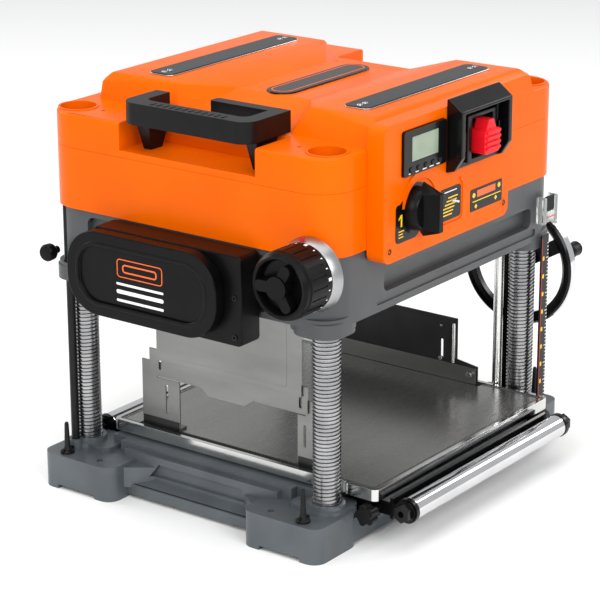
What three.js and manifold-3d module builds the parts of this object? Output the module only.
// Portable four-column thickness planer. Millimetres, +Z up, +X to the operator's right,
// boards travel along Y under the head. The origin is on the floor, midway between the columns.
import * as THREE from "three";
import { mergeVertices } from "three/addons/utils/BufferGeometryUtils.js";
import Module from "manifold-3d";

const wasm = await Module();
wasm.setup();

// ---- driving dimensions ----
const GAP = 0.3; // clearance left between touching pieces
const COLUMN = { x: 180, y: 156, radius: 14.3, journal: 8, bottom: 30, top: 300 };
const SPROCKET = { radius: 15.5, bottom: 7, top: 13 };
const CHAIN = { inner: 16, outer: 18.4, channel: 3 };
const FOOT = { outerX: 229, innerX: 158, outerY: 180, innerY: 85, height: 38, radius: 12 };
const COLLAR = { radius: 20, top: 48 };
const TABLE = { halfX: 163, front: -204, rear: 136, bottom: 50, top: 63 };
const HOUSING = { x: 210, front: -182, rear: 180, radius: 38 };
const HEAD_BOTTOM = 235; // underside of the head casting at rest
const BOSS_BOTTOM = 223; // underside of the column bosses at rest
const CASTING_TOP = 305;
const SEAM = 369; // joint between the lower shell and the top cover
const DECK = 404;
const DOME = 430;
const WELL_RADIUS = 18.5;
const CUTTER = { y: -10, z: 262, radius: 23, halfX: 138 };
const FEED_ROLLER = { spacing: 62, z: 251, radius: 11, halfX: 138 };
const ROLLER = { radius: 12, halfX: 140, z: 43, frontY: -228, rearY: 164 };
const ROLLER_ARM = { inner: 142, outer: 147, bottom: 34, top: 46, frontEnd: -98, rearEnd: 76 };
const SIDE_BEAM = { innerX: 159, outerX: 188, ledgeX: 203, ledgeTop: 20, halfY: 100, bottom: 14 };
const END_BEAM = { halfX: 170, inner: 148, outer: 179, bottom: 4, top: 30 };
const DECK_BOTTOM = 26; // underside of the slab that carries the table
const HANDWHEEL = { x: 231, y: -118, z: 182, radius: 70, rim: 6 };
const TURRET = { y: -160, z: 292, radius: 31 };
const PANEL = { left: -152, right: 72, back: -182.3, front: -202, bottom: 292, top: 428 };
const ROD_REAR = { x: -199.5, y: 157.5, radius: 4.4, top: 238 };
const ROD_FRONT = { x: 170, y: -133.5, radius: 5.3, top: 238 };
const HOLD_DOWN = { x: 217, y: 154 };
const DRIVE_SHAFT = { x: 220, y: -118, radius: 4.6 };
const GUARD = { front: -121, rear: 104, lowerTop: 135, midBottom: 112, midTop: 150 };
const GUARD_SLOT = { inner: 149.4, outer: 157.4 };

// ---- helpers that make and cut solids ----
function solid(geometry) {
  const plain = geometry.clone();
  plain.deleteAttribute("normal");
  plain.deleteAttribute("uv");
  const merged = mergeVertices(plain, 1e-4);
  const mesh = new wasm.Mesh({
    numProp: 3,
    vertProperties: new Float32Array(merged.attributes.position.array),
    triVerts: new Uint32Array(merged.index.array),
  });
  return new wasm.Manifold(mesh);
}

function box(x0, x1, y0, y1, z0, z1) {
  const geometry = new THREE.BoxGeometry(x1 - x0, y1 - y0, z1 - z0);
  geometry.translate((x0 + x1) / 2, (y0 + y1) / 2, (z0 + z1) / 2);
  return solid(geometry);
}

// a round bar between two heights along one axis, centred on the other two coordinates
function bar(axis, radius, a, b, low, high, sides = 16, endRadius = radius) {
  const geometry = new THREE.CylinderGeometry(endRadius, radius, high - low, sides);
  geometry.translate(0, (low + high) / 2, 0);
  if (axis === "z") {
    geometry.rotateX(Math.PI / 2);
    geometry.translate(a, b, 0);
  } else if (axis === "y") {
    geometry.translate(a, 0, b);
  } else {
    geometry.rotateZ(-Math.PI / 2);
    geometry.translate(0, a, b);
  }
  return solid(geometry);
}

function roundedShape(u0, u1, v0, v1, r) {
  const shape = new THREE.Shape();
  shape.absarc(u1 - r, v0 + r, r, -Math.PI / 2, 0);
  shape.absarc(u1 - r, v1 - r, r, 0, Math.PI / 2);
  shape.absarc(u0 + r, v1 - r, r, Math.PI / 2, Math.PI);
  shape.absarc(u0 + r, v0 + r, r, Math.PI, Math.PI * 1.5);
  return shape;
}

// a rounded rectangle in the plane across an axis, extruded along that axis
function slab(axis, u0, u1, v0, v1, r, low, high, segments = 4) {
  const shape = roundedShape(u0, u1, v0, v1, r);
  const geometry = new THREE.ExtrudeGeometry(shape, {
    depth: high - low,
    bevelEnabled: false,
    curveSegments: segments,
  });
  geometry.translate(0, 0, low);
  // u, v, depth become x, y, z; x, z, y; or y, z, x
  if (axis === "y") {
    geometry.rotateX(Math.PI / 2);
    geometry.translate(0, low + high, 0);
  }
  if (axis === "x") {
    geometry.rotateX(Math.PI / 2);
    geometry.rotateZ(Math.PI / 2);
  }
  return solid(geometry);
}

// an outline in Y and Z, extruded along X
function profileX(points, low, high) {
  const shape = new THREE.Shape(points.map(([y, z]) => new THREE.Vector2(y, z)));
  const geometry = new THREE.ExtrudeGeometry(shape, { depth: high - low, bevelEnabled: false });
  geometry.translate(0, 0, low);
  geometry.rotateX(Math.PI / 2);
  geometry.rotateZ(Math.PI / 2);
  return solid(geometry);
}

function ordered(a, b) {
  return a < b ? [a, b] : [b, a];
}

function union(list) {
  return list.reduce((a, b) => a.add(b));
}

const corners = [
  ["front_left", -1, -1],
  ["front_right", 1, -1],
  ["rear_left", -1, 1],
  ["rear_right", 1, 1],
];

const group = new THREE.Group();

const finish = {
  castGrey: ["#585c60", 0.55, 0.3],
  headGrey: ["#6b6b6b", 0.5, 0.3],
  orange: ["#f26a0a", 0.35, 0],
  black: ["#1a1a1b", 0.5, 0],
  steel: ["#b9b9b8", 0.3, 1],
  chrome: ["#d8d8da", 0.12, 1],
  sheet: ["#a5a5a3", 0.35, 0.9],
  red: ["#d8202c", 0.4, 0],
  glass: ["#9fae9a", 0.2, 0],
  rubber: ["#202021", 0.8, 0],
};

function addPart(name, manifold, look, x = 0, y = 0, z = 0) {
  const data = manifold.getMesh();
  const geometry = new THREE.BufferGeometry();
  geometry.setAttribute("position", new THREE.BufferAttribute(data.vertProperties, 3));
  geometry.setIndex(new THREE.BufferAttribute(data.triVerts, 1));
  geometry.computeVertexNormals();
  const [color, roughness, metalness] = finish[look];
  const mesh = new THREE.Mesh(geometry, new THREE.MeshStandardMaterial({ color, roughness, metalness }));
  mesh.name = name;
  mesh.position.set(x, y, z);
  group.add(mesh);
  return mesh;
}

function guardSlot(side, low, high) {
  const [a, b] = [side * GUARD_SLOT.inner, side * GUARD_SLOT.outer].sort((p, q) => p - q);
  return box(a, b, GUARD.front - 3, GUARD.rear + 3, low, high);
}

// ---- base ----
function chainLoop(reachIn, reachOut, low, high) {
  const ring = (reach, bottom, top) =>
    slab("z", -COLUMN.x - reach, COLUMN.x + reach, -COLUMN.y - reach, COLUMN.y + reach, reach, bottom, top, 3);
  return ring(reachOut, low, high).subtract(ring(reachIn, low - 1, high + 1));
}

function baseCasting() {
  const parts = [];
  for (const [, sx, sy] of corners) {
    const [x0, x1] = [sx * FOOT.innerX, sx * FOOT.outerX].sort((a, b) => a - b);
    const [y0, y1] = [sy * FOOT.innerY, sy * FOOT.outerY].sort((a, b) => a - b);
    parts.push(slab("z", x0, x1, y0, y1, FOOT.radius, 0, FOOT.height, 3));
    parts.push(bar("z", COLLAR.radius, sx * COLUMN.x, sy * COLUMN.y, 16, COLLAR.top, 24));
  }
  // side beams with a low ledge, and end beams, both hollow underneath for the lift chain
  for (const side of [-1, 1]) {
    const { innerX, outerX, ledgeX, ledgeTop, halfY, bottom } = SIDE_BEAM;
    const [x0, x1] = ordered(side * innerX, side * outerX);
    parts.push(box(x0, x1, -halfY, halfY, bottom, TABLE.bottom - GAP));
    const [f0, f1] = ordered(side * innerX, side * ledgeX);
    parts.push(box(f0, f1, -halfY, halfY, END_BEAM.bottom, ledgeTop));
    const [y0, y1] = ordered(side * END_BEAM.inner, side * END_BEAM.outer);
    parts.push(box(-END_BEAM.halfX, END_BEAM.halfX, y0, y1, END_BEAM.bottom, END_BEAM.top));
  }
  parts.push(box(-END_BEAM.halfX, END_BEAM.halfX, 128, 150, 20, 32));
  parts.push(box(-END_BEAM.halfX, END_BEAM.halfX, -156, 130, DECK_BOTTOM, TABLE.bottom - GAP));
  parts.push(box(-139, 139, -192, -150, DECK_BOTTOM, TABLE.bottom - GAP));
  parts.push(bar("z", 8, ROD_REAR.x, ROD_REAR.y, 16, COLLAR.top, 12));
  parts.push(bar("z", 9, ROD_FRONT.x, ROD_FRONT.y, 16, COLLAR.top, 12));
  let body = union(parts);
  for (const [, sx, sy] of corners) {
    const [x, y] = [sx * COLUMN.x, sy * COLUMN.y];
    body = body.subtract(bar("z", COLUMN.radius + GAP, x, y, COLUMN.bottom, 60, 20));
    body = body.subtract(bar("z", COLUMN.journal + GAP, x, y, 10, 60, 16));
    body = body.subtract(bar("z", SPROCKET.radius + 1, x, y, -1, 16, 16));
  }
  body = body.subtract(chainLoop(CHAIN.inner - CHAIN.channel, CHAIN.outer + CHAIN.channel, -1, 16));
  for (const side of [-1, 1]) body = body.subtract(guardSlot(side, -1, 60));
  body = body.subtract(bar("z", ROD_REAR.radius + GAP, ROD_REAR.x, ROD_REAR.y, 20, 60, 12));
  body = body.subtract(bar("z", ROD_FRONT.radius + GAP, ROD_FRONT.x, ROD_FRONT.y, 20, 60, 12));
  // pockets for the hold-down bolts and for the extension roller arms
  for (const [, sx, sy] of corners) body = body.subtract(bar("z", 3.5, sx * HOLD_DOWN.x, sy * HOLD_DOWN.y, 20, 60, 10));
  for (const side of [-1, 1]) {
    const { inner, outer, bottom, top, frontEnd, rearEnd } = ROLLER_ARM;
    const [x0, x1] = ordered(side * (inner - 1), side * (outer + 1));
    body = body.subtract(box(x0, x1, -200, frontEnd + 4, bottom - 0.4, top + 0.4));
    body = body.subtract(box(x0, x1, rearEnd - 4, 135, bottom - 0.4, top + 0.4));
  }
  // the vertical drive shaft of the handwheel runs down through the front right foot
  return body.subtract(bar("z", 5.2, DRIVE_SHAFT.x, DRIVE_SHAFT.y, -1, 60, 12));
}

function tablePlate() {
  let plate = box(-TABLE.halfX, TABLE.halfX, TABLE.front, TABLE.rear, TABLE.bottom, TABLE.top);
  for (const side of [-1, 1]) plate = plate.subtract(guardSlot(side, 0, 100));
  // the corners are cut away round the columns at the rear and in front
  for (const [, sx, sy] of corners) {
    plate = plate.subtract(bar("z", COLLAR.radius + 1, sx * COLUMN.x, sy * COLUMN.y, 0, 100, 24));
  }
  return plate.subtract(bar("z", 6.5, ROD_FRONT.x, ROD_FRONT.y, 0, 100, 16));
}

addPart("base_casting", baseCasting(), "castGrey");
addPart("table_plate", tablePlate(), "steel");

for (const [where, sx, sy] of corners) {
  const screw = union([
    bar("z", COLUMN.radius, 0, 0, COLUMN.bottom + GAP, COLUMN.top, 20),
    bar("z", COLUMN.journal, 0, 0, SPROCKET.bottom, COLUMN.top - 10, 16),
    bar("z", SPROCKET.radius, 0, 0, SPROCKET.bottom, SPROCKET.top, 16),
  ]);
  addPart(`lead_screw_${where}`, screw, "chrome", sx * COLUMN.x, sy * COLUMN.y);
  const bolt = union([
    bar("z", 3.2, 0, 0, 20.3, 72, 12),
    bar("z", 7.5, 0, 0, FOOT.height + GAP, FOOT.height + 5, 12),
    box(-9, 9, -2.5, 2.5, FOOT.height + GAP, FOOT.height + 6),
  ]);
  addPart(`hold_down_bolt_${where}`, bolt, "black", sx * HOLD_DOWN.x, sy * HOLD_DOWN.y);
}
addPart("lift_chain", chainLoop(CHAIN.inner, CHAIN.outer, SPROCKET.bottom, SPROCKET.top), "steel");

addPart(
  "guide_rod_rear_left",
  bar("z", ROD_REAR.radius, ROD_REAR.x, ROD_REAR.y, 20 + GAP, ROD_REAR.top, 16),
  "black",
);
addPart(
  "guide_rod_front_right",
  bar("z", ROD_FRONT.radius, ROD_FRONT.x, ROD_FRONT.y, 20 + GAP, ROD_FRONT.top, 16),
  "steel",
);

// the thickness scale: a flat post screwed to the face of the front right foot
const SCALE = { left: 172.5, right: 187, back: -182.6, front: -184.6, top: 240 };
addPart(
  "scale_post",
  union([
    box(SCALE.left, SCALE.right, SCALE.front, SCALE.back, 6, SCALE.top),
    box(SCALE.left, SCALE.right, SCALE.front, -FOOT.outerY - GAP, 6, 34),
  ]),
  "black",
);

// ---- dust guards: fixed lower plates, sliding middle and upper plates ----
function lowerGuard(side) {
  const [x0, x1] = [side * 151.6, side * 149.9].sort((a, b) => a - b);
  const feet = [side * 150.2, side * 138].sort((a, b) => a - b);
  let plate = box(x0, x1, GUARD.front, GUARD.rear, TABLE.top + GAP, GUARD.lowerTop);
  if (side < 0) plate = plate.subtract(box(x0 - 1, x1 + 1, GUARD.front + 22, 54, 0, GUARD.midBottom));
  plate = plate.add(box(...feet, 60, GUARD.rear, TABLE.top + GAP, TABLE.top + 3));
  return plate.add(box(...feet, GUARD.front, GUARD.front + 20, TABLE.top + GAP, TABLE.top + 3));
}

function slidingGuard(side, inner, low, high, front, rear) {
  const [x0, x1] = [side * inner, side * (inner + 1.6)].sort((a, b) => a - b);
  return box(x0, x1, front, rear, low, high);
}

for (const [where, side] of [
  ["left", -1],
  ["right", 1],
]) {
  addPart(`guard_lower_${where}`, lowerGuard(side), "sheet");
  // the right one is short and stays up inside the head at this height
  const bottom = side < 0 ? 139 : 206;
  const upper = slidingGuard(side, 154.6, bottom, 234, GUARD.front + 14, GUARD.rear - 24);
  addPart(`guard_upper_${where}`, upper, "sheet");
}
const middleGuard = slidingGuard(-1, 152.3, GUARD.midBottom, GUARD.midTop, GUARD.front + 8, GUARD.rear - 12);
addPart("guard_middle_left", middleGuard, "sheet");

// ---- extension rollers, front and rear ----
function rollerFrame(y, side) {
  // two flat arms that run into the base, joined by a cross bar behind the roller
  const { inner, outer, bottom, top, frontEnd, rearEnd } = ROLLER_ARM;
  const [y0, y1] = ordered(y + side * 9, side < 0 ? frontEnd : rearEnd);
  const arms = [-1, 1].map((sx) => box(...ordered(sx * inner, sx * outer), y0, y1, bottom, top));
  const barY = y - side * 17;
  const parts = [...arms, box(-outer, outer, barY - 2.5, barY + 2.5, bottom, top)];
  for (const sx of [-1, 1]) {
    const [x0, x1] = [sx * 141, sx * 147].sort((a, b) => a - b);
    parts.push(bar("x", 13, y, ROLLER.z, x0, x1, 20));
    const [h0, h1] = [sx * 146, sx * 156].sort((a, b) => a - b);
    parts.push(bar("x", 9, y, ROLLER.z, h0, h1, 6));
  }
  return union(parts);
}

function extensionRoller(y) {
  const roller = bar("x", ROLLER.radius, y, ROLLER.z, -ROLLER.halfX, ROLLER.halfX, 32);
  return roller;
}

addPart("front_roller_frame", rollerFrame(ROLLER.frontY, -1), "black");
addPart("front_roller", extensionRoller(ROLLER.frontY), "chrome");
addPart("rear_roller_frame", rollerFrame(ROLLER.rearY, 1), "black");
addPart("rear_roller", extensionRoller(ROLLER.rearY), "chrome");

// star knobs that clamp the front roller's arms
const STAR = { y: -193.8, z: 37, reach: 7.5 };
function starKnob(side) {
  const lobes = [0, 1, 2, 3, 4].map((i) => {
    const a = (i / 5) * Math.PI * 2;
    const [x0, x1] = [side * 158, side * 170].sort((p, q) => p - q);
    return bar("x", 4.5, STAR.y + STAR.reach * Math.cos(a), STAR.z + STAR.reach * Math.sin(a), x0, x1, 10);
  });
  const [x0, x1] = [side * 147.4, side * 171].sort((p, q) => p - q);
  const [c0, c1] = [side * 158, side * 171].sort((p, q) => p - q);
  return union([...lobes, bar("x", 8, STAR.y, STAR.z, c0, c1, 12), bar("x", 4, STAR.y, STAR.z, x0, x1, 10)]);
}
addPart("star_knob_left", starKnob(-1), "black");
addPart("star_knob_right", starKnob(1), "black");

// ---- head ----
function wells(low, high) {
  return corners.map(([, sx, sy]) => bar("z", WELL_RADIUS, sx * COLUMN.x, sy * COLUMN.y, low, high, 20));
}

function housing(inset, low, high, frontInset = inset) {
  const { x, front, rear, radius } = HOUSING;
  const r = Math.max(radius - inset, 4);
  return slab("z", -x + inset, x - inset, front + frontInset, rear - inset, r, low, high, 5);
}

function headCasting() {
  let body = housing(2.5, HEAD_BOTTOM, CASTING_TOP);
  for (const [, sx, sy] of corners) {
    const [x0, x1] = [sx * 152, sx * 207].sort((a, b) => a - b);
    const [y0, y1] = [sy * 128, sy * 176].sort((a, b) => a - b);
    body = body.add(slab("z", x0, x1, y0, y1, 20, BOSS_BOTTOM, HEAD_BOTTOM + 5, 4));
  }
  // the cutter and feed-roller tunnel, open underneath
  body = body.subtract(box(-141, 141, -95, 88, HEAD_BOTTOM - 5, 292));
  body = body.subtract(box(-126, 126, -60, 60, 280, CASTING_TOP + 5));
  for (const side of [-1, 1]) body = body.subtract(guardSlot(side, BOSS_BOTTOM - 5, CASTING_TOP + 5));
  for (const [, sx, sy] of corners) {
    const [x, y] = [sx * COLUMN.x, sy * COLUMN.y];
    body = body.subtract(bar("z", COLUMN.radius + GAP, x, y, BOSS_BOTTOM - 5, CASTING_TOP + 5, 20));
  }
  // the long recess in the front beam
  body = body.subtract(box(-112, 150, HOUSING.front - 5, HOUSING.front + 8, 252, 272));
  body = body.subtract(bar("z", 6.2, ROD_REAR.x, ROD_REAR.y, 200, 320, 12));
  return body.subtract(bar("z", 7, ROD_FRONT.x, ROD_FRONT.y, 200, 320, 12));
}

function lowerShell() {
  const outer = housing(0, CASTING_TOP + GAP, SEAM - GAP);
  let body = outer.subtract(housing(3.2, CASTING_TOP - 5, SEAM + 5));
  // the chip port's opening at the rear, and room for the rear guide rod by the corner
  body = body.subtract(box(-75, 75, 150, 200, 322, 348));
  return body.subtract(bar("z", ROD_REAR.radius + 0.7, ROD_REAR.x, ROD_REAR.y, 290, 401, 12));
}

function topCover() {
  let body = housing(0, SEAM, DECK);
  // the raised dome with its lower valley between two wings
  const dome = slab("z", -131, 131, HOUSING.front, 160, 8, DECK - 2, DOME, 4);
  const valley = box(-140, 140, -98, 66, 421, DOME + 5);
  body = body.add(dome.subtract(valley));
  body = body.add(box(PANEL.left + 2, PANEL.right - 2, HOUSING.front, -160, DECK - 2, PANEL.top));
  body = body.subtract(housing(3.2, SEAM - 5, DECK - 4));
  body = body.subtract(slab("z", -127, 127, HOUSING.front + 4, 156, 6, DECK - 5, 417, 4));
  // handle recess in each long side
  for (const side of [-1, 1]) {
    const [x0, x1] = [side * 158, side * 215].sort((a, b) => a - b);
    const [w0, w1] = [side * 155, side * 209.9].sort((a, b) => a - b);
    body = body.add(box(w0, w1, -98, 82, 372, 402));
    body = body.subtract(box(x0, x1, -93, 77, 376, DECK + 10));
  }
  // tubes round the column wells
  const tubes = corners.map(([, sx, sy]) => bar("z", WELL_RADIUS + 2, sx * COLUMN.x, sy * COLUMN.y, 380, 403, 20));
  body = union([body, ...tubes]);
  for (const well of wells(300, 500)) body = body.subtract(well);
  body = body.subtract(bar("z", ROD_REAR.radius + 0.7, ROD_REAR.x, ROD_REAR.y, 290, 401, 12));
  return body.subtract(bar("z", ROD_FRONT.radius + 0.7, ROD_FRONT.x, ROD_FRONT.y, 290, 401, 12));
}

addPart("head_casting", headCasting(), "headGrey");
addPart("lower_shell", lowerShell(), "orange");
addPart("top_cover", topCover(), "orange");

// wear strips on the two wings
for (const [where, y] of [
  ["front", -139],
  ["rear", 106],
]) {
  addPart(`top_strip_${where}`, slab("z", -112, 112, y - 16, y + 16, 7, DOME + GAP, DOME + 1.8, 5), "black");
}

// the carrying handle on the left: a grip bar on two legs, with arms that reach in towards the dome.
// On the right the cover has only a moulded hand hold.
function carryHandle() {
  const parts = [
    slab("z", -214, -196, -88, 72, 8, 404, 428),
    slab("z", -210, -152, 54, 72, 7, 408, 428),
    slab("z", -210, -152, -88, -70, 7, 408, 428),
    slab("z", -206, -170, 54, 70, 6, 376.3, 412),
    slab("z", -206, -170, -86, -70, 6, 376.3, 412),
  ];
  return union(parts);
}
addPart("carry_handle", carryHandle(), "black");

// ---- drive side: gearbox, belt cover, depth-stop turret ----
addPart("gearbox_housing", slab("x", -98, 88, 213, 304, 6, -240, -210.4), "black");
addPart("belt_cover", slab("x", -78, 112, 216, 303, 38, -254, -240.3, 10), "black");
addPart(
  "turret_bezel",
  bar("x", 37, TURRET.y, TURRET.z, -222, -210.4, 40).subtract(bar("x", 7, TURRET.y, TURRET.z, -230, -200, 20)),
  "steel",
);
function turretKnob() {
  let knob = bar("x", TURRET.radius + 4, TURRET.y, TURRET.z, -262, -222.3, 40, TURRET.radius + 4);
  const finger = (a) => {
    const [y, z] = [TURRET.y + 19 * Math.cos(a), TURRET.z + 19 * Math.sin(a)];
    return bar("x", 9, y, z, -268, -252, 16);
  };
  knob = knob.subtract(union([0, 1, 2].map((i) => finger(Math.PI / 2 + (i * Math.PI * 2) / 3))));
  knob = knob.add(bar("x", 6.5, TURRET.y, TURRET.z, -225, -208, 20));
  return knob.add(bar("x", 7, TURRET.y, TURRET.z, -268, -250, 20));
}
addPart("turret_knob", turretKnob(), "black");

// rear height-lock knob on the left side
addPart(
  "height_lock_knob",
  bar("x", 4, 166, 257, -214, -207.8, 12).add(bar("x", 9, 166, 257, -228, -214, 12)),
  "black",
);

// ---- control panel on the front ----
function controlPanel() {
  const { left, right, back, front, bottom, top } = PANEL;
  let plate = slab("y", left, right, bottom, top, 10, front, back);
  plate = plate.subtract(bar("y", 7, -98, 338, front - 5, back + 5, 20));
  // dish above the speed lever, seat of the display, opening behind the switch
  plate = plate.subtract(slab("y", -123, -49, 373, 418, 3, front - 5, front + 4));
  return plate.subtract(box(-22, 32, front - 5, back + 5, 366, 416));
}
addPart("control_panel", controlPanel(), "orange");

const BUTTON = { count: 5, radius: 2.6, z: 379 };
const buttonX = (i) => -111 + i * 12.5;
function displayBezel() {
  let bezel = slab("y", -122.7, -49.3, 373.3, 417.7, 3, PANEL.front - 3, PANEL.front + 3.7);
  for (let i = 0; i < BUTTON.count; i += 1) {
    bezel = bezel.subtract(bar("y", BUTTON.radius + GAP, buttonX(i), BUTTON.z, -210, -190, 16));
  }
  return bezel.subtract(box(-109, -63, -210, -203, 386, 411));
}
addPart("display_bezel", displayBezel(), "black");
addPart("display_glass", box(-108.7, -63.3, -204.6, -203.3, 386.3, 410.7), "glass");
for (let i = 0; i < BUTTON.count; i += 1) {
  const button = bar("y", BUTTON.radius, buttonX(i), BUTTON.z, -206.4, -200.3, 16);
  addPart(`display_button_${i + 1}`, button, "rubber");
}

function speedLever() {
  const hub = bar("y", 24, -98, 338, -214, PANEL.front - GAP, 32);
  const grip = slab("y", -105, -91, 312, 366, 6, -232, -212);
  const shaft = bar("y", 6.6, -98, 338, -204, -186, 20);
  return union([hub, grip, shaft]);
}
addPart("speed_lever", speedLever(), "black");

// the switch: a hooded black housing with a red lockable paddle
function switchHood() {
  const outer = profileX(
    [
      [PANEL.front - GAP, 360],
      [PANEL.front - GAP, 434],
      [-205, 436],
      [-221, 424],
      [-221, 378],
      [-212, 364],
    ],
    -46,
    46,
  );
  let hood = outer.subtract(box(-38, 38, -250, -207, 350, 421));
  hood = hood.add(box(-21.6, 31.6, -212, -186, 367, 415));
  return hood.subtract(box(-14, 24, -220, -192, 372, 410));
}
addPart("switch_hood", switchHood(), "black");

function switchPaddle() {
  return union([
    slab("y", -9, 19, 374, 399, 3, -226, -196),
    slab("y", -3, 13, 396, 408, 3, -224, -206),
  ]);
}
addPart("switch_paddle", switchPaddle(), "red");

// ---- drive train inside the head ----
addPart(
  "motor",
  bar("x", 44, 30, 352, -120, 120, 32).add(bar("x", 8, 30, 352, -176, -110, 20)),
  "steel",
);
addPart("motor_pulley", bar("x", 20, 30, 352, -194, -177, 24).subtract(bar("x", 8.3, 30, 352, -200, -170, 20)), "steel");

function cutterhead() {
  const { y, z, radius, halfX } = CUTTER;
  return union([
    bar("x", radius, y, z, -halfX, halfX, 32),
    bar("x", 8, y, z, -halfX - 3, halfX + 3, 20),
  ]);
}
addPart("cutterhead", cutterhead(), "steel");

for (const [where, sign] of [
  ["infeed", -1],
  ["outfeed", 1],
]) {
  const y = CUTTER.y + sign * FEED_ROLLER.spacing;
  const { z, radius, halfX } = FEED_ROLLER;
  const roller = bar("x", radius, y, z, -halfX, halfX, 24).add(bar("x", 5, y, z, -halfX - 2, halfX + 2, 16));
  addPart(`${where}_roller`, roller, "rubber");
}

// ---- handwheel ----
function handwheel() {
  const { x, y, z, radius, rim } = HANDWHEEL;
  const outer = bar("x", radius, y, z, x, x + 14, 48);
  let wheel = outer.subtract(bar("x", radius - 2 * rim - 2, y, z, x - 5, x + 20, 40));
  for (let i = 0; i < 3; i += 1) {
    const a = (i * Math.PI * 2) / 3 + Math.PI / 6;
    const spoke = new THREE.BoxGeometry(8, radius - 10, 16);
    spoke.translate(0, (radius - 4) / 2, 0);
    spoke.rotateX(a);
    spoke.translate(x + 7, y, z);
    wheel = wheel.add(solid(spoke));
  }
  wheel = wheel.add(bar("x", 15, y, z, x - 1, x + 16, 20));
  return wheel.add(bar("x", 6.2, y, z, x - 17, x + 2, 16));
}
addPart("handwheel", handwheel(), "black");

// an upright on the front right foot carries the handwheel and hides its bevel drive
function handwheelBracket() {
  const { x, y, z } = HANDWHEEL;
  let upright = box(212.6, 228, y - 11, y + 11, FOOT.height + GAP, z);
  upright = upright.add(bar("x", 17, y, z, 212.6, 229, 24));
  upright = upright.subtract(box(214, 226, y - 6, y + 6, FOOT.height - 5, z - 10));
  return upright.subtract(bar("x", 6.5, y, z, 200, x + 5, 16));
}
addPart("handwheel_bracket", handwheelBracket(), "black");

addPart(
  "drive_shaft",
  bar("z", DRIVE_SHAFT.radius, DRIVE_SHAFT.x, DRIVE_SHAFT.y, 6, HANDWHEEL.z - 12, 12),
  "steel",
);

const KNOB = { y: HANDWHEEL.y - 56, z: HANDWHEEL.z + 20 };
addPart(
  "crank_knob",
  bar("x", 9, KNOB.y, KNOB.z, HANDWHEEL.x + 14.3, 268, 16, 7.5),
  "black",
);

// clear pointer bracket in front of the scale
addPart(
  "scale_pointer",
  union([
    box(152, 194, -190, -186.5, 254, 284),
    box(190, 194, -190, -178, 258, 280),
  ]),
  "glass",
);

// chip port at the rear of the head
function chipPort() {
  const duct = box(-78, 78, 180.3, 198, 318, 352).add(bar("y", 32, 0, 335, 190, 241, 24));
  return duct.subtract(bar("y", 28.5, 0, 335, 199, 250, 24));
}
addPart("chip_port", chipPort(), "black");

export default group;
